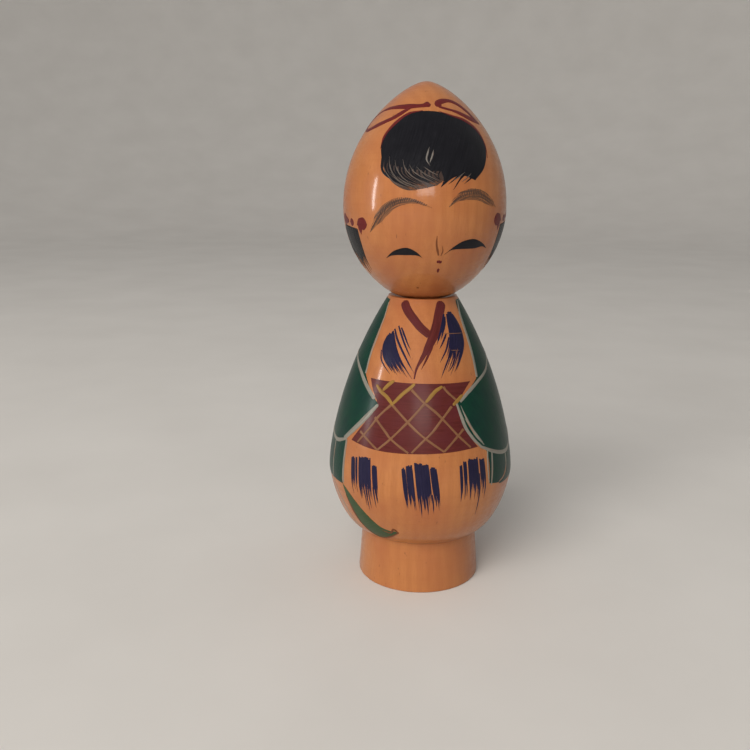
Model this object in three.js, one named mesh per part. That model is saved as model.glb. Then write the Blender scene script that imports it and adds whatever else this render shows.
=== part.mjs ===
// Kokeshi doll: a turned wooden body with a flared foot, an egg-shaped head that
// turns on a dowel, and the dowel itself. Millimetres, +Z up, the doll's front
// faces -Y, and the origin is the centre of the foot's flat underside.

import * as THREE from 'three';

// Whole doll
const HEIGHT = 115;
const LATHE_SEGMENTS = 64;
const CURVE_STEPS = 12;

// Head: an egg with its small end up
const HEAD_RADIUS = 18.3;
const HEAD_WIDEST_Z = 88.3;
const CROWN_SIDE_PULL = 16.6; // how far the sides run straight up before they turn in
const CROWN_TIP_PULL = 4.4; // small, so the crown ends in a soft point
const CHIN_Z = 67.8;
const CHIN_SIDE_PULL = 12.4;
const CHIN_FLAT_RADIUS = 4; // where the head was parted off the lathe
const CHIN_PULL = 4.2;

// Body: a bell that widens down to the hem of the coat, then rounds in to the foot
const NECK_RADIUS = 8;
const NECK_Z = 67.9;
const NECK_EDGE = 0.4;
const SHOULDER_PULL = [11.8, 19.1]; // outwards and down along the shoulder slope
const BELLY_RADIUS = 21.8;
const BELLY_Z = 27.6;
const BELLY_PULL = 3;
const UNDERSIDE_RADIUS = 14.7;
const UNDERSIDE_Z = 12.5;
const UNDERSIDE_PULL = [4.8, 2.3]; // outwards and up from the belly's lower edge

// Foot, turned in one with the body
const FOOT_TOP_RADIUS = 13.7;
const FOOT_TOP_Z = 12.1;
const FOOT_RADIUS = 14.6;
const FOOT_EDGE = 0.8;

// Seat turned into the top of the neck, so that the round chin has room to turn
const SEAT_RADIUS = 6.9;
const SEAT_FLOOR_RADIUS = 4.8;
const SEAT_FLOOR_Z = 67.2;

// Dowel: glued into the body, with the head turning stiffly on its upper end
const DOWEL_RADIUS = 3;
const DOWEL_CHAMFER = 0.5;
const DOWEL_BOTTOM_Z = 53;
const DOWEL_TOP_Z = 82;
const GLUE_GAP = 0.1;
const TURNING_GAP = 0.1;
const BORE_END_GAP = 0.5;

const WOOD = { color: 0xc08a55, roughness: 0.4, metalness: 0 };
const BARE_WOOD = { color: 0xd9b98a, roughness: 0.75, metalness: 0 };

// Turns an outline of [radius, height] points about +Z. The outline starts on the
// axis at its lower or inner end and keeps the solid on its left.
function turned(name, outline, finish) {
  const geometry = new THREE.LatheGeometry(outline.getPoints(CURVE_STEPS), LATHE_SEGMENTS);
  geometry.rotateX(Math.PI / 2);
  const mesh = new THREE.Mesh(geometry, new THREE.MeshStandardMaterial(finish));
  mesh.name = name;
  return mesh;
}

function headOutline() {
  const boreRadius = DOWEL_RADIUS + TURNING_GAP;
  const boreTopZ = DOWEL_TOP_Z + BORE_END_GAP;
  const outline = new THREE.Path();
  outline.moveTo(0, boreTopZ);
  outline.lineTo(boreRadius, boreTopZ);
  outline.lineTo(boreRadius, CHIN_Z);
  outline.lineTo(CHIN_FLAT_RADIUS, CHIN_Z);
  outline.bezierCurveTo(
    CHIN_FLAT_RADIUS + CHIN_PULL, CHIN_Z,
    HEAD_RADIUS, HEAD_WIDEST_Z - CHIN_SIDE_PULL,
    HEAD_RADIUS, HEAD_WIDEST_Z,
  );
  outline.bezierCurveTo(
    HEAD_RADIUS, HEAD_WIDEST_Z + CROWN_SIDE_PULL,
    CROWN_TIP_PULL, HEIGHT,
    0, HEIGHT,
  );
  return outline;
}

function bodyOutline() {
  const boreRadius = DOWEL_RADIUS + GLUE_GAP;
  const boreFloorZ = DOWEL_BOTTOM_Z - BORE_END_GAP;
  const outline = new THREE.Path();
  outline.moveTo(0, 0);
  outline.lineTo(FOOT_RADIUS - FOOT_EDGE, 0);
  outline.quadraticCurveTo(FOOT_RADIUS, 0, FOOT_RADIUS, FOOT_EDGE);
  outline.lineTo(FOOT_TOP_RADIUS, FOOT_TOP_Z);
  outline.lineTo(UNDERSIDE_RADIUS, UNDERSIDE_Z);
  outline.bezierCurveTo(
    UNDERSIDE_RADIUS + UNDERSIDE_PULL[0], UNDERSIDE_Z + UNDERSIDE_PULL[1],
    BELLY_RADIUS, BELLY_Z - BELLY_PULL,
    BELLY_RADIUS, BELLY_Z,
  );
  outline.bezierCurveTo(
    BELLY_RADIUS, BELLY_Z + BELLY_PULL,
    NECK_RADIUS + SHOULDER_PULL[0], NECK_Z - SHOULDER_PULL[1],
    NECK_RADIUS, NECK_Z,
  );
  outline.lineTo(NECK_RADIUS - NECK_EDGE, NECK_Z + NECK_EDGE);
  outline.lineTo(SEAT_RADIUS, NECK_Z + NECK_EDGE);
  outline.lineTo(SEAT_FLOOR_RADIUS, SEAT_FLOOR_Z);
  outline.lineTo(boreRadius, SEAT_FLOOR_Z);
  outline.lineTo(boreRadius, boreFloorZ);
  outline.lineTo(0, boreFloorZ);
  return outline;
}

function dowelOutline() {
  const outline = new THREE.Path();
  outline.moveTo(0, DOWEL_BOTTOM_Z);
  outline.lineTo(DOWEL_RADIUS - DOWEL_CHAMFER, DOWEL_BOTTOM_Z);
  outline.lineTo(DOWEL_RADIUS, DOWEL_BOTTOM_Z + DOWEL_CHAMFER);
  outline.lineTo(DOWEL_RADIUS, DOWEL_TOP_Z - DOWEL_CHAMFER);
  outline.lineTo(DOWEL_RADIUS - DOWEL_CHAMFER, DOWEL_TOP_Z);
  outline.lineTo(0, DOWEL_TOP_Z);
  return outline;
}

const doll = new THREE.Group();
doll.add(turned('body', bodyOutline(), WOOD));
doll.add(turned('head', headOutline(), WOOD));
doll.add(turned('neck_dowel', dowelOutline(), BARE_WOOD));

export default doll;
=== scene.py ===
"""Kokeshi doll: lacquered turned wood with a brushed coat, kimono, sash, hair and face.

The paint is modelled as thin raised films that lie on the turned surfaces. A place on
a surface is (angle, height): degrees round from the doll's front, positive towards its
left hand, and millimetres above the floor. Left and right in names are the viewer's.
Lengths are millimetres until a mesh is made.
"""

import bisect
import math
import random

import bpy
from mathutils import Matrix, Vector
from mathutils.geometry import delaunay_2d_cdt


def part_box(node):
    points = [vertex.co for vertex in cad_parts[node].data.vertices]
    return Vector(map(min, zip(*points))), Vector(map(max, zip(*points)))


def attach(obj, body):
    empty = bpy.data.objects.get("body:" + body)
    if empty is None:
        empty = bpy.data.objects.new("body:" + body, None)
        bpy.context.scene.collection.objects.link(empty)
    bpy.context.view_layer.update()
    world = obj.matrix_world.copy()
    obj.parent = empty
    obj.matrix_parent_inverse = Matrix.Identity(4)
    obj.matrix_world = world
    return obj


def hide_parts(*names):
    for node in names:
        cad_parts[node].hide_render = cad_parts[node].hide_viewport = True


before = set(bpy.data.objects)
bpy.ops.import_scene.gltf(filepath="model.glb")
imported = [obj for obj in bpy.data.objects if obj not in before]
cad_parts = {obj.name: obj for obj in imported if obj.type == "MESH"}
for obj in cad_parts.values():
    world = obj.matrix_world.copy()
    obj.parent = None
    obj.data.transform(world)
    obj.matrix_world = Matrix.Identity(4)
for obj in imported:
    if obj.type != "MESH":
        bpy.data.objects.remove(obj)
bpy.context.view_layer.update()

MM = 0.001

# Turned shapes, from the CAD nodes' boxes and the pulls of the curves between them
HEAD_LOW, HEAD_HIGH = (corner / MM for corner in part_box("head"))
_, BODY_HIGH = (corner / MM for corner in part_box("body"))
DOWEL_LOW, DOWEL_HIGH = (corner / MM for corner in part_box("neck_dowel"))
HEAD_RADIUS = HEAD_HIGH.x
HEAD_WIDEST_Z = 88.3
CROWN_SIDE_PULL = 16.6
CROWN_TIP_PULL = 4.4
CHIN_SIDE_PULL = 12.4
CHIN_FLAT_RADIUS = 4.0
CHIN_PULL = 4.2
NECK_RADIUS = 8.0
NECK_EDGE = 0.4
NECK_Z = BODY_HIGH.z - NECK_EDGE
SHOULDER_PULL = (11.8, 19.1)
BELLY_RADIUS = BODY_HIGH.x
BELLY_Z = 27.6
BELLY_PULL = 3.0
UNDERSIDE_RADIUS = 14.7
UNDERSIDE_Z = 12.5
UNDERSIDE_PULL = (4.8, 2.3)
FOOT_TOP_RADIUS = 13.7
FOOT_TOP_Z = 12.1
FOOT_RADIUS = 14.6
FOOT_EDGE = 0.8
SEAT_RADIUS = 6.9
SEAT_FLOOR_RADIUS = 4.8
SEAT_FLOOR_Z = 67.2
BORE_GAP = 0.1
BORE_END_GAP = 0.5
BORE_RADIUS = DOWEL_HIGH.x + BORE_GAP

LATHE_SEGMENTS = 192
CURVE_STEPS = 48

# Paint films
FILM = 0.05
FILM_EDGE = 0.15  # how thick a stroke is along its edges, as a part of its middle
SINK = 0.05  # how far the films reach into the wood, so that no gap shows
STROKE_STEP = 0.22
RIM_STEP = STROKE_STEP * 1.6
FILL_STEP = 0.8
LEAST_HALF_WIDTH = 0.01
MARK_SPACING = 0.65  # of neighbouring bristle marks, as a part of their width


# ---------------------------------------------------------------- turned surfaces

def bezier(start, pull_start, pull_end, end):
    """Points of a cubic curve, without its first one."""
    points = []
    for i in range(1, CURVE_STEPS + 1):
        t = i / CURVE_STEPS
        s = 1 - t
        weights = (s ** 3, 3 * s * s * t, 3 * s * t * t, t ** 3)
        corners = (start, pull_start, pull_end, end)
        points.append(tuple(sum(w * c[k] for w, c in zip(weights, corners)) for k in (0, 1)))
    return points


def head_outside():
    chin = (CHIN_FLAT_RADIUS, HEAD_LOW.z)
    widest = (HEAD_RADIUS, HEAD_WIDEST_Z)
    crown = (0.0, HEAD_HIGH.z)
    outline = [chin]
    outline += bezier(
        chin,
        (chin[0] + CHIN_PULL, chin[1]),
        (widest[0], widest[1] - CHIN_SIDE_PULL),
        widest,
    )
    outline += bezier(
        widest,
        (widest[0], widest[1] + CROWN_SIDE_PULL),
        (CROWN_TIP_PULL, crown[1]),
        crown,
    )
    return outline


def body_outside():
    foot_low = (FOOT_RADIUS - FOOT_EDGE, 0.0)
    foot_side = (FOOT_RADIUS, FOOT_EDGE)
    foot_corner = (FOOT_RADIUS, 0.0)
    underside = (UNDERSIDE_RADIUS, UNDERSIDE_Z)
    belly = (BELLY_RADIUS, BELLY_Z)
    neck = (NECK_RADIUS, NECK_Z)
    outline = [foot_low]
    outline += bezier(foot_low, foot_corner, foot_corner, foot_side)
    outline += [(FOOT_TOP_RADIUS, FOOT_TOP_Z), underside]
    outline += bezier(
        underside,
        (underside[0] + UNDERSIDE_PULL[0], underside[1] + UNDERSIDE_PULL[1]),
        (belly[0], belly[1] - BELLY_PULL),
        belly,
    )
    outline += bezier(
        belly,
        (belly[0], belly[1] + BELLY_PULL),
        (neck[0] + SHOULDER_PULL[0], neck[1] - SHOULDER_PULL[1]),
        neck,
    )
    return outline


def head_outline():
    bore_top = DOWEL_HIGH.z + BORE_END_GAP
    bore = [(0.0, bore_top), (BORE_RADIUS, bore_top), (BORE_RADIUS, HEAD_LOW.z)]
    return bore + head_outside()


def body_outline():
    bore_floor = DOWEL_LOW.z - BORE_END_GAP
    rim_z = BODY_HIGH.z
    seat = [
        (NECK_RADIUS - NECK_EDGE * 0.3, rim_z - NECK_EDGE * 0.3),
        (NECK_RADIUS - NECK_EDGE, rim_z),
        (SEAT_RADIUS, rim_z),
        (SEAT_FLOOR_RADIUS, SEAT_FLOOR_Z),
        (BORE_RADIUS, SEAT_FLOOR_Z),
        (BORE_RADIUS, bore_floor),
        (0.0, bore_floor),
    ]
    return [(0.0, 0.0)] + body_outside() + seat


class Surface:
    """The outside of a turned piece, as a radius for every height."""

    def __init__(self, outline):
        self.radii = [r for r, z in outline]
        self.heights = [z for r, z in outline]

    def radius_and_normal(self, z):
        i = bisect.bisect_right(self.heights, z)
        i = min(max(i, 1), len(self.heights) - 1)
        rise = self.heights[i] - self.heights[i - 1]
        run = self.radii[i] - self.radii[i - 1]
        part = (z - self.heights[i - 1]) / rise
        radius = self.radii[i - 1] + run * part
        normal = Vector((rise, -run)).normalized()
        return max(radius, 0.0), normal

    def at(self, angle, z, lift=0.0):
        """The point at an angle in degrees and a height, lifted off the wood."""
        radius, normal = self.radius_and_normal(z)
        turn = math.radians(angle)
        out = radius + normal.x * lift
        return Vector((out * math.sin(turn), -out * math.cos(turn), z + normal.y * lift))

    def normal(self, point):
        radius, normal = self.radius_and_normal(point.z)
        turn = math.atan2(point.x, -point.y)
        return Vector((normal.x * math.sin(turn), -normal.x * math.cos(turn), normal.y))

    def onto(self, point, lift=0.0):
        """The nearest place on the surface at the same height, lifted off the wood."""
        return self.at(math.degrees(math.atan2(point.x, -point.y)), point.z, lift)


HEAD = Surface(head_outside())
BODY = Surface(body_outside())


# ---------------------------------------------------------------- meshes

class Shape:
    """Vertices and faces of one piece, with what its paint shader reads."""

    def __init__(self):
        self.points = []
        self.faces = []
        self.brush = []
        self.load = []

    def vertex(self, point, brush=(0.0, 0.0, 0.0), load=1.0):
        self.points.append(point)
        self.brush.append(brush)
        self.load.append(load)
        return len(self.points) - 1

    def finish(self, name, body, material, sharp_angle=50):
        mesh = bpy.data.meshes.new(name)
        mesh.from_pydata([p * MM for p in self.points], [], self.faces)
        mesh.validate()
        brush = mesh.attributes.new("brush", "FLOAT_VECTOR", "POINT")
        brush.data.foreach_set("vector", [c for b in self.brush for c in b])
        load = mesh.attributes.new("load", "FLOAT", "POINT")
        load.data.foreach_set("value", self.load)
        mesh.shade_smooth()
        mesh.set_sharp_from_angle(angle=math.radians(sharp_angle))
        piece = bpy.data.objects.new(name, mesh)
        bpy.context.scene.collection.objects.link(piece)
        mesh.materials.append(material)
        if body:
            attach(piece, body)
        return piece


def turned(name, outline, body, material):
    """A solid of revolution from an outline that starts and ends on the axis."""
    shape = Shape()
    rings = []
    for radius, z in outline:
        if radius < 1e-6:
            rings.append([shape.vertex(Vector((0, 0, z)))] * LATHE_SEGMENTS)
            continue
        ring = []
        for i in range(LATHE_SEGMENTS):
            turn = math.tau * i / LATHE_SEGMENTS
            ring.append(shape.vertex(Vector((radius * math.sin(turn), -radius * math.cos(turn), z))))
        rings.append(ring)
    for low, high in zip(rings, rings[1:]):
        for i in range(LATHE_SEGMENTS):
            j = (i + 1) % LATHE_SEGMENTS
            corners = [low[i], low[j], high[j], high[i]]
            face = [c for k, c in enumerate(corners) if c != corners[k - 1]]
            if len(face) > 2:
                shape.faces.append(face)
    return shape.finish(name, body, material, sharp_angle=35)


def through(points, steps=12):
    """Points along a smooth curve that passes through every given point."""
    if len(points) == 2:
        points = [points[0], (points[0] + points[1]) * 0.5, points[1]]
    ends = [points[0] * 2 - points[1], *points, points[-1] * 2 - points[-2]]
    curve = []
    for a, b, c, d in zip(ends, ends[1:], ends[2:], ends[3:]):
        for i in range(steps):
            t = i / steps
            bend = (a * 2 - b * 5 + c * 4 - d) * t * t + (b * 3 - a - c * 3 + d) * t ** 3
            curve.append((b * 2 + (c - a) * t + bend) * 0.5)
    curve.append(points[-1])
    return curve


def evenly(curve, step):
    """The curve again with its points about one step apart, and its length."""
    lengths = [0.0]
    for a, b in zip(curve, curve[1:]):
        lengths.append(lengths[-1] + (b - a).length)
    total = lengths[-1]
    count = max(6, round(total / step))
    even = []
    for i in range(count + 1):
        want = total * i / count
        k = min(bisect.bisect_right(lengths, want), len(lengths) - 1)
        span = max(lengths[k] - lengths[k - 1], 1e-9)
        even.append(curve[k - 1].lerp(curve[k], (want - lengths[k - 1]) / span))
    return even, total


def between(values, part):
    """The value at a part (0 to 1) of the way along evenly spaced values."""
    place = min(max(part, 0.0), 1.0) * (len(values) - 1)
    k = min(int(place), len(values) - 2)
    ease = place - k
    ease = ease * ease * (3 - 2 * ease)
    return values[k] * (1 - ease) + values[k + 1] * ease


# Points across a stroke, from edge to edge
ACROSS = (-1.0, -0.7, -0.35, 0.0, 0.35, 0.7, 1.0)


def stroke(shape, surface, places, widths, base=0.0, film=FILM, blunt=(False, False),
           load=(1.0, 1.0), seed=0.0):
    """One brush stroke: a closed film along the places, with a width at each.

    base lifts the film off the wood, blunt rounds an end off, and load is how much paint
    the brush carries at points along the stroke.
    """
    curve = [surface.onto(p) for p in through([surface.at(*place) for place in places])]
    curve, length = evenly(curve, STROKE_STEP)
    last = len(curve) - 1
    rings = []
    for i, middle in enumerate(curve):
        part = i / last
        ahead = curve[min(i + 1, last)] - curve[max(i - 1, 0)]
        side = ahead.cross(surface.normal(middle)).normalized()
        half = between(widths, part) / 2
        along = part * length
        for is_blunt, distance in zip(blunt, (along, length - along)):
            if is_blunt and distance < half:
                half *= math.sqrt(max(1 - (1 - distance / half) ** 2, 0.0))
        half = max(half, LEAST_HALF_WIDTH)
        wet = between(load, part)
        ring = []
        for s in ACROSS:
            lift = base + film * (FILM_EDGE + (1 - FILM_EDGE) * (1 - s ** 4))
            point = surface.onto(middle + side * (half * s), lift)
            ring.append(shape.vertex(point, (half * s, along, seed), wet))
        for s in (1.0, -1.0):
            point = surface.onto(middle + side * (half * s), base - SINK)
            ring.append(shape.vertex(point, (half * s, along, seed), wet))
        rings.append(ring)
    for near, far in zip(rings, rings[1:]):
        for k in range(len(near)):
            m = (k + 1) % len(near)
            shape.faces.append([near[k], near[m], far[m], far[k]])
    shape.faces.append(rings[0][::-1])
    shape.faces.append(rings[-1])


def inner_points(rim, edges, low, high):
    """Points in rows inside a flat outline, clear of its rim."""
    points = []
    for row in range(1, int((high.y - low.y) / FILL_STEP) + 1):
        y = low.y + row * FILL_STEP
        crossings = sorted(
            a.x + (b.x - a.x) * (y - a.y) / (b.y - a.y)
            for a, b in ((rim[i], rim[j]) for i, j in edges)
            if (a.y <= y) != (b.y <= y)
        )
        for enter, leave in zip(crossings[::2], crossings[1::2]):
            room = leave - enter - FILL_STEP
            count = int(room / FILL_STEP) + 1 if room > 0 else 0
            for i in range(count):
                x = enter + FILL_STEP / 2 + room * (i + 0.5) / count
                points.append(Vector((x, y)))
    return points


def fill(shape, surface, sides, middle_angle, base=0.0, grain=0.0, load=(1.0, 1.0)):
    """A filled area of paint inside an outline made of smooth sides that meet in corners.

    middle_angle is the angle that the outline is unrolled about, grain the direction of
    the brush marks in degrees from upright, and load how much paint there is at the
    bottom and at the top.
    """
    def unroll(angle, z):
        radius, _ = surface.radius_and_normal(z)
        return Vector((math.radians(angle - middle_angle) * radius, z))

    def roll(flat, lift):
        radius, _ = surface.radius_and_normal(flat.y)
        return surface.at(middle_angle + math.degrees(flat.x / radius), flat.y, lift)

    rim = []
    for side in sides:
        curve, _ = evenly(through([unroll(*place) for place in side]), RIM_STEP)
        rim += curve[:-1]
    low = Vector((min(p.x for p in rim), min(p.y for p in rim)))
    high = Vector((max(p.x for p in rim), max(p.y for p in rim)))
    edges = [(i, (i + 1) % len(rim)) for i in range(len(rim))]
    points = rim + inner_points(rim, edges, low, high)
    flat, _, faces, _, _, _ = delaunay_2d_cdt(points, edges, [], 1, 1e-5)
    lean = math.radians(grain)
    tops, lows = [], []
    for p in flat:
        brush = (
            p.x * math.cos(lean) - p.y * math.sin(lean),
            p.x * math.sin(lean) + p.y * math.cos(lean),
            0.0,
        )
        wet = between(load, (p.y - low.y) / (high.y - low.y))
        tops.append(shape.vertex(roll(p, base + FILM), brush, wet))
        lows.append(shape.vertex(roll(p, base - SINK), brush, wet))
    used = set()
    for face in faces:
        shape.faces.append([tops[i] for i in face])
        shape.faces.append([lows[i] for i in reversed(face)])
        used.update((face[k - 1], face[k]) for k in range(len(face)))
    for a, b in used:
        if (b, a) not in used:
            shape.faces.append([tops[b], tops[a], lows[a], lows[b]])


def brushed(name, surface, body, material, strokes):
    """A piece made of several strokes, each given as stroke()'s settings."""
    shape = Shape()
    for i, settings in enumerate(strokes):
        stroke(shape, surface, seed=i * 7.3, **settings)
    return shape.finish(name, body, material)


def bristles(shape, surface, left, right, mark, chance, ragged):
    """Fine overlapping bristle marks that fill the area between two edge lines.

    Both lines run the way the brush went. ragged is how far the marks start and end
    short of or past the lines' ends, as parts of their length.
    """
    width = max((surface.at(*a) - surface.at(*b)).length for a, b in zip(left, right))
    count = max(1, round(width / (mark * MARK_SPACING)))
    for i in range(count):
        part = (i + 0.5) / count
        places = [Vector(a).lerp(Vector(b), part) for a, b in zip(left, right)]
        places[0] += (places[0] - places[1]) * ragged[0] * chance.uniform(-1, 1)
        places[-1] += (places[-1] - places[-2]) * ragged[1] * chance.uniform(-1, 2.2)
        wide = mark * chance.uniform(0.85, 1.15)
        widths = [wide * 0.8, wide, wide, wide, wide * 0.85, wide * 0.4, 0.05]
        stroke(shape, surface, places, widths, load=[1.0, 1.0, 1.0, 0.95, 0.8, 0.6], seed=i * 3.1)


# ---------------------------------------------------------------- materials

class Shader:
    """A material whose nodes are added one at a time and linked as they are added."""

    def __init__(self, name):
        self.material = bpy.data.materials.new(name)
        self.material.use_nodes = True
        self.nodes = self.material.node_tree.nodes
        self.links = self.material.node_tree.links
        self.nodes.clear()

    def add(self, kind, inputs=None, output=0, **settings):
        node = self.nodes.new("ShaderNode" + kind)
        for key, value in settings.items():
            setattr(node, key, value)
        for key, value in (inputs or {}).items():
            if isinstance(value, bpy.types.NodeSocket):
                self.links.new(value, node.inputs[key])
            else:
                node.inputs[key].default_value = value
        return node.outputs[output] if len(node.outputs) else None

    def place(self):
        """The object's own coordinates, in millimetres."""
        coords = self.add("TexCoord", output=3)
        return self.add("Mapping", {"Vector": coords, "Scale": (1 / MM,) * 3})

    def scaled(self, vector, scale, offset=(0, 0, 0)):
        return self.add("Mapping", {"Vector": vector, "Scale": scale, "Location": offset})

    def noise(self, vector, scale, detail=3.0, rough=0.5):
        inputs = {
            "Vector": vector,
            "Scale": scale,
            "Detail": detail,
            "Roughness": rough,
        }
        return self.add("TexNoise", inputs)

    def range(self, value, low, high, to_low=0.0, to_high=1.0):
        inputs = {
            "Value": value,
            "From Min": low,
            "From Max": high,
            "To Min": to_low,
            "To Max": to_high,
        }
        return self.add("MapRange", inputs)

    def mix(self, factor, first, second):
        node = self.nodes.new("ShaderNodeMix")
        node.data_type = "RGBA"
        # For colours, this node's factor is input 0, its colours 6 and 7, its result output 2
        values = {0: factor, 6: first, 7: second}
        for index, value in values.items():
            socket = node.inputs[index]
            if isinstance(value, bpy.types.NodeSocket):
                self.links.new(value, socket)
            elif isinstance(value, float):
                socket.default_value = value
            else:
                socket.default_value = (*value, 1.0)
        return node.outputs[2]

    def math(self, operation, first, second):
        return self.add("Math", {0: first, 1: second}, operation=operation)

    def lacquered(self, colour, height, depth, roughness, coat=0.5, coat_roughness=0.12, shine=0.25):
        """The colour under a clear coat, with height (0 to 1) as relief, depth mm deep."""
        bump = self.add("Bump", {"Height": height, "Distance": depth * MM, "Strength": 1.0})
        shader = self.add("BsdfPrincipled", {
            "Base Color": colour,
            "Roughness": roughness,
            "Normal": bump,
            "Coat Weight": coat,
            "Coat Roughness": coat_roughness,
            "Coat IOR": 1.5,
            "IOR": 1.45,
            "Specular IOR Level": shine,
        })
        self.add("OutputMaterial", {"Surface": shader})
        return self.material


WOOD_PALE = (0.42, 0.158, 0.049)
WOOD_DEEP = (0.28, 0.090, 0.026)
WOOD_RED = (0.31, 0.088, 0.031)
WOOD_FLECK = (0.15, 0.055, 0.020)


def wood_colour(shader, place):
    """Amber-lacquered pale wood: growth rings, fibres, soft blotches and small flecks."""
    pith = shader.scaled(place, (1, 1, 1), (31.0, 22.0, 0.0))
    sway = shader.noise(shader.scaled(place, (0.05, 0.05, 0.02)), 1.0, 2.0)
    rings = shader.add("TexWave", {
        "Vector": pith,
        "Scale": 0.13,
        "Distortion": 5.0,
        "Detail": 2.0,
        "Detail Scale": 0.35,
    }, output=1, wave_type="RINGS", rings_direction="Z")
    fibres = shader.noise(shader.scaled(place, (2.6, 2.6, 0.09)), 1.0, 4.0, 0.6)
    blotches = shader.noise(shader.scaled(place, (0.09, 0.09, 0.07)), 1.0, 3.0)
    flecks = shader.noise(shader.scaled(place, (1.3, 1.3, 0.5)), 1.0, 1.0)
    colour = shader.mix(shader.range(rings, 0.15, 0.9, 0.0, 0.22), WOOD_PALE, WOOD_DEEP)
    colour = shader.mix(shader.range(fibres, 0.42, 0.72, 0.0, 0.32), colour, WOOD_DEEP)
    colour = shader.mix(shader.range(blotches, 0.42, 0.68, 0.0, 0.65), colour, WOOD_RED)
    colour = shader.mix(shader.range(sway, 0.35, 0.65, 0.0, 0.25), colour, WOOD_PALE)
    colour = shader.mix(shader.range(flecks, 0.745, 0.80, 0.0, 0.6), colour, WOOD_FLECK)
    return colour, fibres


def wood_material():
    shader = Shader("lacquered_wood")
    place = shader.place()
    colour, fibres = wood_colour(shader, place)
    lathe_marks = shader.noise(shader.scaled(place, (0.03, 0.03, 1.5)), 1.0, 3.0, 0.6)
    dents = shader.noise(place, 0.22, 2.0)
    scuffs = shader.noise(shader.scaled(place, (0.5, 0.5, 1.4)), 1.0, 5.0, 0.65)
    colour = shader.mix(shader.range(lathe_marks, 0.52, 0.72, 0.0, 0.1), colour, WOOD_DEEP)
    fibre_relief = shader.math("MULTIPLY", fibres, 0.25)
    lathe_relief = shader.math("MULTIPLY", lathe_marks, 0.35)
    relief = shader.math("ADD", shader.math("ADD", fibre_relief, lathe_relief), dents)
    roughness = shader.range(scuffs, 0.35, 0.7, 0.3, 0.5)
    return shader.lacquered(colour, relief, 0.12, roughness)


def bare_wood_material():
    shader = Shader("bare_wood")
    place = shader.place()
    fibres = shader.noise(shader.scaled(place, (3.0, 3.0, 0.12)), 1.0, 4.0, 0.6)
    colour = shader.mix(shader.range(fibres, 0.3, 0.7), (0.72, 0.52, 0.32), (0.55, 0.36, 0.2))
    return shader.lacquered(colour, fibres, 0.05, shader.range(fibres, 0.3, 0.7, 0.6, 0.8), coat=0.0)


def paint_material(name, thick, thin, cover=1.0, dry=0.5, tint=None):
    """Brushed paint: thick and thin are its colours where much or little of it lies.

    cover is how much it hides the wood, and dry how strongly the wood shows between
    the bristle marks where a stroke carries little paint.
    """
    shader = Shader(name)
    place = shader.place()
    wood, _ = wood_colour(shader, place)
    brush = shader.add("Attribute", output=1, attribute_name="brush")
    load = shader.add("Attribute", output=2, attribute_name="load")
    marks = shader.noise(shader.scaled(brush, (3.6, 0.16, 1.0)), 1.0, 3.0, 0.6)
    pools = shader.noise(place, 0.35, 3.0)
    colour = shader.mix(shader.range(marks, 0.3, 0.72), thick, thin)
    colour = shader.mix(shader.range(pools, 0.4, 0.75, 0.0, 0.7), colour, tint or thick)
    wet = shader.math("ADD", load, shader.range(marks, 0.25, 0.75, dry, -dry))
    hiding = shader.range(wet, 0.3, 0.7, 0.0, cover)
    colour = shader.mix(hiding, wood, colour)
    mark_relief = shader.math("MULTIPLY", marks, 0.8)
    pool_relief = shader.math("MULTIPLY", pools, 0.6)
    relief = shader.math("ADD", mark_relief, pool_relief)
    roughness = shader.range(marks, 0.3, 0.75, 0.3, 0.48)
    return shader.lacquered(colour, relief, 0.05, roughness, coat=0.2, coat_roughness=0.22, shine=0.12)


WOOD = wood_material()
GREEN = paint_material("coat_green", (0.002, 0.020, 0.016), (0.004, 0.036, 0.025),
                       tint=(0.002, 0.040, 0.020), dry=0.1)
LEAF_GREEN = paint_material("leaf_green", (0.026, 0.055, 0.020), (0.050, 0.080, 0.035), dry=0.2)
MAROON = paint_material("sash_maroon", (0.068, 0.011, 0.010), (0.105, 0.019, 0.016),
                        tint=(0.088, 0.016, 0.020), dry=0.1)
RIBBON_RED = paint_material("ribbon_red", (0.092, 0.008, 0.009), (0.13, 0.018, 0.016), dry=0.2)
INDIGO = paint_material("kimono_indigo", (0.007, 0.006, 0.025), (0.017, 0.014, 0.045), dry=0.25)
BLACK = paint_material("hair_black", (0.004, 0.004, 0.006), (0.010, 0.010, 0.013), dry=0.2)
HAIR_WASH = paint_material("hair_wash", (0.014, 0.012, 0.013), (0.060, 0.048, 0.043), cover=0.95, dry=0.18)
HAIR_GLINT = paint_material("hair_glint", (0.17, 0.155, 0.14), (0.11, 0.10, 0.09), dry=0.3)
HAIR_STREAK = paint_material("hair_streak", (0.115, 0.094, 0.08), (0.070, 0.056, 0.048), dry=0.2)
GREY = paint_material("brow_grey", (0.032, 0.026, 0.023), (0.085, 0.060, 0.045), cover=0.85, dry=0.4)
WHITE = paint_material("outline_white", (0.235, 0.225, 0.19), (0.16, 0.145, 0.12), dry=0.35)
GOLD = paint_material("lattice_gold", (0.27, 0.15, 0.030), (0.19, 0.10, 0.027), dry=0.25)
TAN = paint_material("lattice_tan", (0.20, 0.092, 0.042), (0.14, 0.062, 0.031), dry=0.25)
BROWN = paint_material("face_brown", (0.10, 0.027, 0.010), (0.16, 0.050, 0.020), cover=0.9, dry=0.25)


# ---------------------------------------------------------------- the wood itself

def make_wood():
    head = turned("head_wood", head_outline(), "head", WOOD)
    body = turned("body_wood", body_outline(), "body", WOOD)
    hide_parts("head")
    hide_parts("body")
    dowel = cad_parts["neck_dowel"]
    dowel.data.materials.clear()
    dowel.data.materials.append(bare_wood_material())


# ---------------------------------------------------------------- the coat

COAT_HEM_Z = 26.6
COAT_TOP_Z = 67.6


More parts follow.
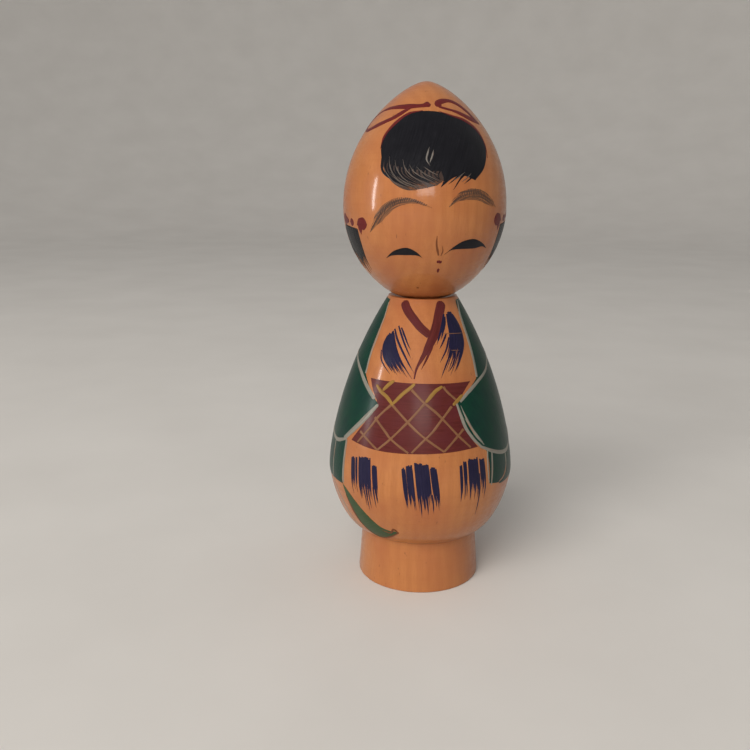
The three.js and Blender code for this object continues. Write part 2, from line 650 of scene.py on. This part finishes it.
def make_coat():
    shape = Shape()
    outline = [
        [(66, COAT_TOP_Z), (61, 66.7), (57, 63.8), (53.5, 58.0), (49, 51.2)],  # right lapel
        [(49, 51.2), (37, 48.9), (25.5, 46.5)],  # right cuff, upper edge
        [(25.5, 46.5), (29, 43.0), (34, 39.4), (40, 36.8)],  # right cuff, lower edge
        [(40, 36.8), (44, 36.0), (46.5, 34.5), (46, 28.0)],  # right front edge
        # hem
        [(46, 28.0), (56, 27.2), (70, COAT_HEM_Z), (180, COAT_HEM_Z), (284, 26.2), (306, 26.2)],
        [(306, 26.2), (307, 31.0), (305, 36.9)],  # left front edge
        [(305, 36.9), (316, 41.3), (329, 46.0)],  # left cuff, lower edge
        [(329, 46.0), (320, 48.4), (309, 51.7)],  # left cuff, upper edge
        [(309, 51.7), (307, 57.0), (305.5, 63.0), (296, COAT_TOP_Z)],  # left lapel
        # nape
        [(angle, COAT_TOP_Z) for angle in (296, 240, 180, 120, 66)],
    ]
    fill(shape, BODY, outline, 180, grain=8)
    shape.finish("coat", "body", GREEN)


def make_coat_outlines():
    brushed("coat_outline_left", BODY, "body", WHITE, [
        dict(places=[(-62, 66.9), (-55, 63.9), (-53.5, 60.0), (-53, 56.0), (-51, 51.7)],
             widths=[0.35, 0.5, 0.6, 0.5], base=FILM, load=[0.6, 0.55, 0.7]),
        dict(places=[(-95, 55.0), (-78, 54.0), (-60, 52.0), (-46, 49.4), (-35, 46.9)],
             widths=[0.2, 0.6, 0.8, 0.95, 0.9], base=FILM, load=[0.7, 0.9, 1.0], blunt=(False, True)),
        dict(places=[(-31, 46.0), (-40, 42.5), (-48, 39.6), (-57, 36.6)],
             widths=[0.7, 1.2, 1.2, 1.0], base=FILM, load=[0.9, 1.0, 0.8], blunt=(True, False)),
        dict(places=[(-90, 37.0), (-78, 35.7), (-66, 35.4), (-54, 36.8)],
             widths=[0.4, 0.8, 0.9, 0.6], base=FILM, load=[0.7, 1.0, 0.8]),
        dict(places=[(-69, 35.4), (-68.5, 31.0), (-67, 26.6)],
             widths=[0.45, 0.4, 0.3], base=FILM, load=[0.8, 0.7]),
        dict(places=[(-54, 36.6), (-53.5, 31.0), (-53, 26.6)],
             widths=[0.6, 0.7, 0.6], base=FILM, load=[0.8, 0.75, 0.7]),
    ])
    brushed("coat_outline_right", BODY, "body", WHITE, [
        dict(places=[(70, 67.4), (58, 64.4), (54.5, 59.5), (52.5, 55.5), (50, 51.4)],
             widths=[0.4, 0.7, 0.7, 0.6], base=FILM, load=[0.8, 0.75, 0.8]),
        dict(places=[(97, 56.0), (86, 54.5), (67, 52.2), (50, 50.5), (38, 48.8), (29, 47.0)],
             widths=[0.15, 0.5, 0.65, 0.7, 0.8, 0.65], base=FILM, load=[0.7, 0.85, 1.0, 0.85]),
        dict(places=[(26, 46.8), (28.2, 44.2), (31, 41.3), (36, 38.7), (42, 36.5)],
             widths=[0.5, 0.75, 0.7, 0.55], base=FILM, load=[0.9, 1.0, 0.9]),
        dict(places=[(29, 46.2), (32, 43.6), (36, 40.9), (43, 37.5)],
             widths=[0.1, 0.45, 0.4, 0.3], base=FILM, load=[0.7, 0.8]),
        dict(places=[(31, 43.4), (34.5, 41.3), (38, 39.3), (44, 37.0)],
             widths=[0.1, 0.25, 0.3, 0.2], base=FILM, load=[0.6, 0.7]),
        dict(places=[(42, 36.6), (50, 35.2), (60, 33.9), (70, 33.4), (80, 34.2), (90, 36.6)],
             widths=[0.6, 0.8, 0.9, 0.9, 0.7, 0.2], base=FILM, load=[0.9, 0.8, 0.8]),
        dict(places=[(46.5, 35.6), (45.5, 31.6), (46, 28.2)],
             widths=[0.35, 0.35, 0.25], base=FILM, load=[0.75, 0.6]),
        dict(places=[(50.5, 34.8), (49.5, 31.3), (48, 27.4)],
             widths=[0.45, 0.55, 0.35], base=FILM, load=[0.8, 0.7]),
        dict(places=[(67.5, 33.2), (67, 30.2), (63, 28.2), (56, 27.3)],
             widths=[0.4, 0.5, 0.4, 0.2], base=FILM, load=[0.7, 0.6]),
    ])
    sleeve = [(82, 35.3), (92, 37.2), (102, 41.0), (110, 48.0), (108, 61.5)]
    brushed("coat_outline_back", BODY, "body", WHITE, [
        dict(places=[(turn * angle, z) for angle, z in sleeve],
             widths=[0.3, 0.8, 0.8, 0.7, 0.2], base=FILM, load=[0.8, 0.9, 0.75, 0.6])
        for turn in (1, -1)
    ])


# ---------------------------------------------------------------- the kimono and sash

SASH_TOP_Z = 51.1
SASH_LOW_Z = 36.4


def make_sash():
    shape = Shape()
    outline = [
        [(-43.5, SASH_TOP_Z), (0, SASH_TOP_Z), (41.5, 50.9)],
        [(41.5, 50.9), (35, 49.4), (25.5, 46.5)],
        [(25.5, 46.5), (29, 43.0), (34, 39.2), (38.5, 36.9)],
        [(38.5, 36.9), (20, SASH_LOW_Z + 0.2), (0, SASH_LOW_Z), (-28, SASH_LOW_Z - 0.1), (-49, 37.0)],
        [(-49, 37.0), (-40.5, 41.2), (-32.5, 44.9)],
        [(-32.5, 44.9), (-32, 45.8), (-33, 46.8)],
        [(-33, 46.8), (-38, 48.6), (-43.5, SASH_TOP_Z)],
    ]
    fill(shape, BODY, outline, 0, base=-0.01, grain=90)
    shape.finish("sash", "body", MAROON)


def make_lattice():
    """Diagonal lines across the sash: thick gold where the brush was full, then thin tan."""
    gold = [
        [(-21, 51.4), (-25, 50.5), (-29.5, 49.0)],
        [(-36, 50.0), (-31, 48.8), (-25, 47.8), (-19.5, 46.2)],
        [(-4.5, 51.1), (-9, 49.9), (-14, 48.6), (-20, 46.5)],
        [(16.5, 50.5), (11, 49.6), (7, 48.4), (3.5, 47.2)],
        [(32, 48.4), (28, 47.5), (23, 46.4)],
    ]
    tan = [
        [(-7, 49.8), (2, 47.3), (11, 45.0), (18, 42.6), (24, 40.3), (33, 37.1)],
        [(17, 50.4), (20, 49.2), (27, 47.2)],
        [(-20, 46.3), (-13, 44.4), (-6, 42.3), (1, 40.3), (7, 38.8), (15, SASH_LOW_Z + 0.4)],
        [(-21, 46.3), (-29, 43.6), (-35, 40.6), (-43, 37.0)],
        [(-32, 43.2), (-24, 40.9), (-18, 39.0), (-7, SASH_LOW_Z + 0.1)],
        [(3, 47.1), (-4, 44.6), (-10, 42.4), (-19, 39.1), (-27, SASH_LOW_Z)],
        [(22, 46.2), (14, 43.5), (8, 41.1), (1, 38.8), (-5, SASH_LOW_Z + 0.2)],
        [(-42, 39.5), (-35, 38.1), (-27, SASH_LOW_Z)],
        [(29, 41.2), (22, 39.1), (15, SASH_LOW_Z + 0.4)],
    ]
    brushed("lattice_gold", BODY, "body", GOLD, [
        dict(places=line, widths=[0.6, 0.8, 0.8, 0.6], base=FILM + 0.03, blunt=(True, True),
             load=[1.0, 0.95])
        for line in gold
    ])
    brushed("lattice_tan", BODY, "body", TAN, [
        dict(places=line, widths=[0.6, 0.48, 0.55, 0.44, 0.5, 0.42], base=FILM, film=0.04,
             load=[0.9, 0.8, 0.85, 0.75])
        for line in tan
    ])


def make_collar():
    brushed("collar", BODY, "body", MAROON, [
        dict(places=[(-31, 67.8), (-21, 65.9), (-9, 63.9), (-1, 62.4), (8, 61.0)],
             widths=[2.0, 2.0, 1.9, 1.8], blunt=(True, False), load=[1.0, 0.95]),
        dict(places=[(32, 67.8), (22.5, 65.2), (15.5, 62.2), (8.5, 59.4), (1.5, 56.7), (-4, 54.1),
                     (-5.5, 52.0)],
             widths=[2.2, 2.2, 2.1, 2.2, 1.8, 1.0, 0.55, 0.3], base=0.02, blunt=(True, False),
             load=[1.0, 0.95, 0.9]),
        dict(places=[(9, 58.6), (5, 56.4), (0, 54.0)],
             widths=[0.9, 0.5, 0.1], base=0.01, load=[0.95, 0.8]),
    ])


def make_chest_patch(name, left, right, ragged, streaks, load, chance):
    """A patch of bristle marks between two edge lines, with longer streaks off it.

    A streak is (places, width).
    """
    shape = Shape()
    bristles(shape, BODY, left, right, 0.5, chance, ragged)
    for line, wide in streaks:
        widths = [wide * 0.7, wide, wide * 0.9, wide * 0.6, 0.05]
        stroke(shape, BODY, line, widths, load=load)
    shape.finish(name, "body", INDIGO)


def make_chest_ikat():
    """The blurred woven pattern either side of the collar, swept towards its point."""
    chance = random.Random(3)
    make_chest_patch(
        "chest_ikat_left",
        [(-39, 60.4), (-40.5, 58.6), (-39, 56.9), (-34, 55.2), (-29, 54.0)],
        [(-32, 61.2), (-27, 59.0), (-22.5, 57.2), (-17, 55.3), (-12, 53.7)],
        (0.2, 0.5),
        [
            ([(-41, 57.2), (-38, 55.4), (-33, 54.1), (-26, 52.6)], 0.36),
            ([(-32, 61.9), (-26, 59.9), (-20, 58.1), (-11, 55.1), (-6, 53.2)], 0.55),
            ([(-28, 62.6), (-21, 60.4), (-16, 58.6), (-9, 56.0)], 0.48),
            ([(-24, 62.3), (-18, 60.5), (-14, 59.1), (-10, 57.8)], 0.45),
            ([(-33, 55.8), (-30, 54.6), (-24, 53.0)], 0.35),
            ([(-28, 56.0), (-24, 54.6), (-19, 53.1)], 0.35),
        ],
        [1.0, 1.0, 0.9, 0.7],
        chance,
    )
    make_chest_patch(
        "chest_ikat_right",
        [(33.5, 65.0), (31.5, 62.8), (30.5, 60.8), (27, 58.6), (22, 56.2)],
        [(44, 65.2), (48.5, 62.4), (48, 60.0), (43.5, 57.6), (35, 54.8)],
        (0.2, 0.45),
        [
            ([(29, 65.2), (26, 63.8), (22, 62.2), (18, 60.5), (15, 59.0)], 0.8),
            ([(30, 64.6), (27, 63.0), (23, 61.4), (20, 60.0)], 0.6),
            ([(27, 61.2), (22, 59.6), (17, 58.1)], 0.45),
            ([(29, 60.4), (24, 58.0), (16, 55.3)], 0.45),
            ([(28, 57.6), (24, 55.9), (20, 54.2), (16, 52.2)], 0.35),
            ([(33, 57.0), (28, 54.8), (23, 53.4)], 0.45),
            ([(39, 56.8), (34, 55.1), (29, 53.4)], 0.5),
        ],
        [0.9, 0.95, 0.85, 0.65],
        chance,
    )
    brushed("chest_scratches", BODY, "body", TAN, [
        dict(places=line, widths=[0.04, 0.16, 0.12, 0.04], base=FILM, film=0.02, load=[0.8, 0.7])
        for line in ([(22, 61.2), (38, 61.0), (52, 60.8)], [(28, 57.7), (38, 57.5)])
    ])


def make_skirt_patch(name, lean, lanes, tails, seed):
    """Upright bristle lanes and thin straggling tails, which all lean by some degrees.

    A lane is (from degrees, to degrees, top, bottom), and a tail (degrees, top, bottom).
    """
    chance = random.Random(seed)
    shape = Shape()
    for start, end, top, low in lanes:
        middle = (top + low) / 2
        left = [(start, top), (start + lean * 0.5, middle), (start + lean, low)]
        right = [(end, top), (end + lean * 0.5, middle), (end + lean, low)]
        bristles(shape, BODY, left, right, 0.44, chance, ragged=(0.06, 0.22))
    for angle, top, low in tails:
        shift = lean * 0.5
        places = [(angle, top), (angle + shift * 0.6, (top + low) / 2), (angle + shift, low)]
        stroke(shape, BODY, places, [0.3, 0.34, 0.26, 0.05], load=[1.0, 0.9, 0.7], seed=angle)
    shape.finish(name, "body", INDIGO)


def make_skirt_ikat():
    make_skirt_patch("skirt_ikat_left", 2.5, [
        (-46.6, -43.4, 33.4, 26.6),
        (-42.9, -41.4, 33.8, 27.0),
        (-40.2, -31.2, 34.1, 26.0),
        (-29.7, -26.4, 32.9, 25.4),
    ], [
        (-37.5, 28.5, 24.6),
        (-34.6, 28.0, 23.0),
        (-33.2, 28.0, 21.8),
        (-31.6, 28.0, 22.6),
        (-28.0, 28.0, 23.0),
        (-26.6, 28.0, 24.2),
    ], seed=8)
    make_skirt_patch("skirt_ikat_centre", 3.0, [
        (-10.6, -8.6, 33.2, 25.2),
        (-8.2, -4.6, 33.9, 25.2),
        (-3.2, 5.2, 34.3, 25.0),
        (6.2, 9.8, 33.4, 25.0),
    ], [
        (-7.8, 28.0, 24.0),
        (-6.0, 28.0, 24.4),
        (0.6, 27.5, 21.6),
        (2.6, 27.5, 23.6),
        (4.4, 27.5, 22.4),
        (7.6, 27.5, 22.8),
        (9.2, 27.5, 24.2),
    ], seed=13)
    make_skirt_patch("skirt_ikat_right", 0.5, [
        (24.5, 26.0, 33.6, 26.6),
        (27.0, 28.9, 34.2, 28.2),
        (30.2, 37.4, 34.5, 26.8),
        (38.8, 42.8, 34.1, 28.4),
    ], [
        (25.2, 29.0, 25.2),
        (27.6, 30.5, 25.6),
        (28.8, 30.5, 26.4),
        (31.4, 29.5, 25.2),
        (34.6, 29.5, 25.6),
        (38.2, 31.0, 20.8),
        (40.6, 31.0, 26.2),
        (42.4, 31.0, 24.6),
    ], seed=21)


def make_leaf():
    """The pale green sweep below the coat's left front edge, and the thin lines beside it."""
    shape = Shape()
    outline = [
        [(-54, 26.2), (-48, 24.6), (-37, 20.7), (-27, 17.6), (-19, 16.8)],
        [(-19, 16.8), (-16, 16.9), (-14.5, 16.5)],
        [(-14.5, 16.5), (-21, 14.9), (-29, 13.9), (-37, 14.3), (-44, 16.4), (-49, 19.6), (-54, 26.2)],
    ]
    fill(shape, BODY, outline, -35, grain=60)
    shape.finish("leaf_sweep", "body", LEAF_GREEN)
    brushed("leaf_edge", BODY, "body", BROWN, [
        dict(places=[(-52, 23.6), (-46, 17.6), (-37, 14.2), (-29, 13.8), (-21, 14.9), (-14, 16.6)],
             widths=[0.15, 0.6, 0.4, 0.4, 0.5, 0.35], base=FILM, load=[0.8, 0.9]),
        dict(places=[(-26, 16.6), (-20, 16.3), (-17, 17.6), (-14, 16.6)],
             widths=[0.1, 0.45, 0.5, 0.4], base=FILM, load=[0.7, 0.95]),
    ])
    brushed("hem_line", BODY, "body", WHITE, [
        dict(places=[(-70, 26.4), (-64, 23.6), (-59, 20.4), (-55, 17.0), (-50, 14.6)],
             widths=[0.3, 0.5, 0.5, 0.4, 0.1], load=[0.6, 0.75, 0.6]),
    ])


# ---------------------------------------------------------------- hair and face

def make_hair():
    cap = Shape()
    fill(cap, HEAD, [
        [(-33, 98.2), (-37, 101.6), (-32, 105.0), (-18, 107.6), (2, 108.2), (22, 107.7), (40, 106.4),
         (53, 104.3), (55, 101.0), (47, 97.1), (36, 94.3)],
        [(36, 94.3), (31, 94.9), (25, 95.5)],
        [(25, 95.5), (18, 94.6), (10.5, 92.9)],
        [(10.5, 92.9), (12.5, 94.5), (11, 96.1)],
        [(11, 96.1), (-6, 96.4), (-22, 97.2), (-33, 98.2)],
    ], 8, grain=20)
    for tip, low in ((15.5, 93.5), (19, 92.4), (27, 93.6)):
        stroke(cap, HEAD, [(tip + 12, 96.0), (tip + 6, 94.8), (tip, low)], [0.7, 0.45, 0.28, 0.05],
               load=[1.0, 1.0, 0.8], seed=tip)
    cap.finish("hair_cap", "head", BLACK)

    wash = Shape()
    fill(wash, HEAD, [
        [(-34, 99.4), (-31, 97.2), (-26, 95.0), (-19, 93.2), (-11, 92.3), (-2, 92.6), (8, 93.3)],
        [(8, 93.3), (14, 94.6), (20, 96.2)],
        [(20, 96.2), (6, 97.6), (-14, 98.4), (-34, 99.4)],
    ], -8, base=-0.02, grain=-50, load=(0.7, 1.25))
    wash.finish("hair_wash", "head", HAIR_WASH)

    chance = random.Random(4)
    fringe = Shape()
    strands = 16
    for i in range(strands):
        part = i / (strands - 1)
        start = Vector((-32.5, 98.8)).lerp(Vector((14, 97.6)), part)
        middle = Vector((-28.8, 95.6)).lerp(Vector((9, 95.4)), part)
        end = Vector((-4, 92.2)).lerp(Vector((13, 94.2)), part)
        end.x += chance.uniform(-3.0, 3.0)
        wide = 0.42 if i == 0 else chance.uniform(0.16, 0.34)
        stroke(fringe, HEAD, [start, middle, end], [0.8, 0.55, wide, wide * 0.8, 0.05],
               base=FILM * 0.6, load=[1.0, 1.0, 0.85, 0.5], seed=i * 3.1)
    fringe.finish("hair_fringe", "head", BLACK)

    brushed("hair_glints", HEAD, "head", HAIR_GLINT, [
        dict(places=line, widths=[0.05, 0.34, 0.3, 0.05], base=FILM * 1.4, load=[0.7, 0.8, 0.65])
        for line in ([(3, 100.9), (1.5, 99.4), (1, 98.4), (3.2, 97.2)], [(6, 100.3), (5, 99.1), (3, 97.6)])
    ])
    streaks = [
        [(-27, 99.0), (-25, 96.9), (-20, 94.9), (-14, 93.6)],
        [(-22, 98.3), (-20, 96.7), (-16, 95.1), (-8, 93.3)],
        [(-16, 98.4), (-14, 96.8), (-9, 95.2), (-2, 94.0)],
        [(-11, 97.4), (-8, 96.1), (-3, 95.1), (3, 94.3)],
        [(-30, 96.9), (-26, 95.3), (-20, 93.7), (-12, 92.9)],
        [(-6, 97.0), (-2, 95.9), (3, 95.1), (9, 94.2)],
        [(-1, 97.0), (4, 96.0), (9, 95.3)],
        [(-24, 95.9), (-19, 94.4), (-12, 93.3), (-5, 92.8)],
        [(-19, 95.1), (-14, 94.0), (-8, 93.3), (0, 93.0)],
        [(28, 95.9), (23, 94.9), (18, 94.2)],
        [(33, 95.6), (29, 94.7), (25, 94.0)],
    ]
    brushed("hair_streaks", HEAD, "head", HAIR_STREAK, [
        dict(places=line, widths=[0.05, 0.2, 0.16, 0.05], base=FILM * 1.2, film=0.03, load=[0.9, 1.0, 0.9])
        for line in streaks
    ])
    brushed("hair_edge", HEAD, "head", RIBBON_RED, [
        dict(places=[(-37, 100.6), (-37, 103.2), (-31, 105.6), (-20, 107.6), (-4, 108.3)],
             widths=[0.1, 0.6, 0.9, 0.7, 0.2], base=0.02, load=[0.85, 0.95, 0.7]),
        dict(places=[(14, 108.2), (28, 107.3), (42, 106.4), (53, 104.6), (56, 101.8), (53, 98.8)],
             widths=[0.1, 0.5, 0.9, 0.8, 0.35, 0.1], base=0.02, load=[0.8, 0.95, 0.7]),
    ])


def make_ribbon():
    brushed("hair_ribbon", HEAD, "head", RIBBON_RED, [
        dict(places=[(6, 109.6), (-8, 109.3), (-26, 109.2), (-45, 109.1), (-60, 108.7), (-72, 107.8),
                     (-79, 106.6), (-80, 105.4), (-75, 104.5)],
             widths=[1.5, 1.1, 1.5, 1.3, 1.0, 0.7, 0.7, 0.8, 0.9], blunt=(True, True), load=[1.0, 0.95]),
        dict(places=[(-76, 104.6), (-68, 104.5), (-57, 105.2), (-44, 106.2), (-34, 107.1), (-20, 108.9)],
             widths=[0.8, 1.0, 1.2, 1.1, 1.2, 0.8], blunt=(True, False), load=[0.95, 0.95]),
        dict(places=[(16, 109.0), (17, 110.0), (32, 110.5), (46, 109.9), (56, 108.4),
                     (61, 107.0), (66, 105.9)],
             widths=[1.5, 1.5, 1.2, 1.2, 1.2, 1.1, 0.6], blunt=(True, True), load=[1.0, 0.95]),
        dict(places=[(15, 109.2), (23, 108.8), (36, 108.2), (50, 107.1), (66, 105.9)],
             widths=[0.7, 0.7, 1.2, 1.5, 0.7], blunt=(True, False), load=[0.95, 0.95]),
        dict(places=[(5, 109.5), (-4, 109.7)],
             widths=[1.5, 1.7, 1.3], base=0.03, blunt=(True, True), load=[1.0, 1.0]),
    ])


def make_side_lock(side, front, top, turn):
    """A lock of hair at the temple, from front backwards (turn is 1 or -1), and its bow."""
    chance = random.Random(17)
    shape = Shape()
    back = 24  # degrees from the front strand to the last
    strands = 21
    wide = 0.62
    for i in range(strands):
        part = i / (strands - 1)
        angle = front + turn * back * part
        corner = 0.9 * max(0, 1 - 6 * (1 - part)) ** 2
        start = top + 0.6 * part - corner
        low = top - 9.2 + 1.6 * part + chance.uniform(-2.0, 1.8)
        places = [(angle, start), (angle - turn * 0.6, top - 3.5), (angle + turn * 1.5, low)]
        stroke(shape, HEAD, places, [wide, wide, wide * 0.95, wide * 0.55, 0.06],
               load=[1.0, 1.0, 0.95, 0.75, 0.5], blunt=(True, False), seed=i * 2.7)
    shape.finish(f"side_lock_{side}", "head", BLACK)

    def placed(*steps):
        return [(front + turn * angle, top + rise) for angle, rise in steps]

    wing = placed((-1.0, 0.8), (-6.0, 1.1), (-12.0, 1.0))
    tail = placed((-4.0, 0.8), (-4.5, -1.2))
    knot = placed((3.0, 1.1), (8.5, 1.3))
    far_wing = placed((10.5, 1.4), (17.0, 1.6), (23.5, 1.9))
    brushed(f"side_bow_{side}", HEAD, "head", RIBBON_RED, [
        dict(places=wing, widths=[0.8, 2.4, 2.8, 1.9], blunt=(True, True)),
        dict(places=tail, widths=[1.8, 1.2, 0.3], blunt=(True, False)),
        dict(places=knot, widths=[1.4, 1.7, 1.5], blunt=(True, True)),
        dict(places=far_wing, widths=[0.7, 1.6, 2.6, 2.2], blunt=(True, True)),
    ])


def make_brow(side, places, widths):
    """A broad translucent brush line with fine upright hairs over it."""
    brushed(f"brow_{side}", HEAD, "head", GREY, [
        dict(places=places, widths=widths, film=0.03, load=[0.5, 0.62, 0.66, 0.6, 0.42]),
    ])
    chance = random.Random(6)
    curve, _ = evenly([HEAD.onto(p) for p in through([HEAD.at(*place) for place in places])], 0.45)
    hairs = []
    for i, point in enumerate(curve[2:-3]):
        half = between(widths, (i + 2) / (len(curve) - 1)) / 2
        angle = math.degrees(math.atan2(point.x, -point.y))
        top = point.z + half * chance.uniform(0.8, 1.1)
        low = point.z - half * chance.uniform(0.1, 0.9)
        hairs.append(dict(places=[(angle + 0.7, top), (angle - 0.7, low)], widths=[0.1, 0.2, 0.04],
                          base=0.02, film=0.03, load=[1.0, 0.9, 0.6]))
    brushed(f"brow_hairs_{side}", HEAD, "head", HAIR_WASH, hairs)


def make_brows():
    make_brow("left",
              [(-40, 83.4), (-33, 86.0), (-27, 88.0), (-20, 89.6), (-12, 90.2), (-4, 89.9), (5, 88.8)],
              [0.2, 1.1, 2.2, 2.3, 2.0, 1.6, 1.0, 0.5, 0.15])
    make_brow("right",
              [(16, 89.0), (21, 90.5), (27, 91.3), (34, 91.5), (41, 91.1), (49, 89.9), (56, 88.7)],
              [0.2, 1.1, 2.0, 2.3, 2.3, 2.2, 1.5, 0.2])


def make_eyes():
    left = Shape()
    fill(left, HEAD, [
        [(-30, 78.0), (-24, 78.7), (-14, 78.9), (-5, 78.9), (-1, 78.4)],
        [(-1, 78.4), (-5, 79.6), (-12, 80.5), (-20, 80.0), (-25, 79.2), (-30, 78.0)],
    ], -15, grain=90)
    left.finish("eye_left", "head", BLACK)
    right = Shape()
    fill(right, HEAD, [
        [(15.5, 79.1), (21, 80.1), (31, 80.2), (40, 80.2), (47, 80.5), (54, 79.9)],
        [(54, 79.9), (47, 81.2), (38, 82.2), (30, 82.0), (23, 81.0), (15.5, 79.1)],
    ], 34, grain=90)
    right.finish("eye_right", "head", BLACK)


def make_nose_and_mouth():
    brushed("nose", HEAD, "head", BROWN, [
        dict(places=[(9, 83.1), (9, 81.4), (10, 80.1), (11.2, 78.9)], widths=[0.15, 0.4, 0.5, 0.35],
             film=0.03, load=[0.6, 0.85]),
        dict(places=[(13, 81.1), (14, 79.9), (13, 78.8)], widths=[0.1, 0.28, 0.3, 0.2],
             film=0.03, load=[0.5, 0.75]),
    ])
    brushed("mouth", HEAD, "head", RIBBON_RED, [
        dict(places=[(10.8, 77.2), (12, 77.6), (13, 77.35), (14.3, 77.7)],
             widths=[0.5, 0.85, 0.6, 0.75, 0.4], blunt=(True, True), film=0.04),
        dict(places=[(12.8, 76.0), (12.8, 75.0)], widths=[0.5, 0.55, 0.35], blunt=(True, True), film=0.04,
             load=[0.85, 0.75]),
    ])
    brushed("chin_fleck", HEAD, "head", BROWN, [
        dict(places=[(-7.2, 71.4), (-5.0, 71.1)], widths=[0.45, 0.6, 0.4], blunt=(True, True), film=0.03),
    ])


# ---------------------------------------------------------------- stage

# The camera that fits the photograph: its place, its turns in degrees, and its lens
CAMERA_PLACE = (0.0, -195.5, 98.1)
CAMERA_PAN = -3.21
CAMERA_TILT = 14.14
CAMERA_ROLL = 0.28
CAMERA_LENS = 40.8
SENSOR_WIDTH = 36.0

FLOOR_FLAT_RADIUS = 900.0
FLOOR_SWEEP_RADIUS = 700.0
FLOOR_FLAT_RINGS = 6
FLOOR_SWEEP_STEPS = 16
FLOOR_SEGMENTS = 64

LIGHT_TARGET = (0, 0, 0.06)  # metres, about half way up the doll


def make_camera():
    camera = bpy.data.objects.new("camera", bpy.data.cameras.new("camera"))
    bpy.context.scene.collection.objects.link(camera)
    camera.data.sensor_width = SENSOR_WIDTH
    camera.data.lens = CAMERA_LENS
    camera.data.clip_start = 0.01
    turn = Matrix.Rotation(math.radians(-CAMERA_PAN), 4, "Z")
    tilt = Matrix.Rotation(math.radians(90 - CAMERA_TILT), 4, "X")
    roll = Matrix.Rotation(math.radians(CAMERA_ROLL), 4, "Z")
    camera.matrix_world = Matrix.Translation(Vector(CAMERA_PLACE) * MM) @ turn @ tilt @ roll
    bpy.context.scene.camera = camera


def make_floor():
    """A pale floor that sweeps up into a wall all round."""
    shader = Shader("floor")
    cloud = shader.noise(shader.place(), 0.02, 4.0)
    colour = shader.mix(shader.range(cloud, 0.3, 0.7), (0.66, 0.64, 0.61), (0.70, 0.68, 0.65))
    material = shader.lacquered(colour, cloud, 0.0, 0.8, coat=0.0, shine=0.1)
    profile = [
        (FLOOR_FLAT_RADIUS * k / FLOOR_FLAT_RINGS, 0.0) for k in range(1, FLOOR_FLAT_RINGS)
    ]
    for k in range(FLOOR_SWEEP_STEPS + 1):
        bend = math.radians(90) * k / FLOOR_SWEEP_STEPS
        out = FLOOR_FLAT_RADIUS + FLOOR_SWEEP_RADIUS * math.sin(bend)
        profile.append((out, FLOOR_SWEEP_RADIUS * (1 - math.cos(bend))))
    shape = Shape()
    rings = [[shape.vertex(Vector((0, 0, 0)))] * FLOOR_SEGMENTS]
    turns = [math.tau * i / FLOOR_SEGMENTS for i in range(FLOOR_SEGMENTS)]
    for radius, z in profile:
        ring = [Vector((radius * math.sin(turn), radius * math.cos(turn), z)) for turn in turns]
        rings.append([shape.vertex(point) for point in ring])
    for near, far in zip(rings, rings[1:]):
        for i in range(FLOOR_SEGMENTS):
            j = (i + 1) % FLOOR_SEGMENTS
            corners = [near[i], far[i], far[j], near[j]]
            shape.faces.append([c for k, c in enumerate(corners) if c != corners[k - 1]])
    floor = shape.finish("floor", None, material)


def area_light(name, place, width, height, power, colour=(1, 1, 1)):
    """A lamp that faces the doll, with its place and size in metres."""
    light = bpy.data.lights.new(name, "AREA")
    light.shape = "RECTANGLE"
    light.size = width
    light.size_y = height
    light.energy = power
    light.color = colour
    light.spread = math.radians(120)
    lamp = bpy.data.objects.new(name, light)
    bpy.context.scene.collection.objects.link(lamp)
    lamp.location = place
    aim = Vector(LIGHT_TARGET) - Vector(place)
    lamp.visible_camera = False
    lamp.rotation_mode = "QUATERNION"
    lamp.rotation_quaternion = aim.to_track_quat("-Z", "Y")
    return lamp


def make_lights():
    """Soft light from the room and a key lamp. The key lamp makes no reflections, because they
    would veil the dark paint; the gleams make only reflections."""
    scene = bpy.context.scene
    scene.view_settings.view_transform = "Standard"
    world = bpy.data.worlds.new("room")
    scene.world = world
    world.use_nodes = True
    background = world.node_tree.nodes["Background"]
    background.inputs["Color"].default_value = (1.0, 0.98, 0.96, 1)
    background.inputs["Strength"].default_value = 0.36
    key = area_light("key", (-0.45, -0.95, 0.62), 0.90, 0.90, 7.8, (1.0, 0.96, 0.91))
    key.visible_glossy = False
    gleams = [
        area_light("front_gleam", (0.03, -0.95, 0.36), 0.40, 0.22, 0.8, (1.0, 0.97, 0.93)),
        area_light("left_gleam", (-0.58, -0.17, 0.17), 0.04, 0.24, 0.32),
    ]
    for gleam in gleams:
        gleam.visible_diffuse = False


make_camera()
make_floor()
make_lights()
make_wood()
make_coat()
make_coat_outlines()
make_sash()
make_lattice()
make_collar()
make_chest_ikat()
make_skirt_ikat()
make_leaf()
make_hair()
make_ribbon()
make_side_lock("left", -54, 84.0, -1)
make_side_lock("right", 67, 85.0, 1)
make_brows()
make_eyes()
make_nose_and_mouth()
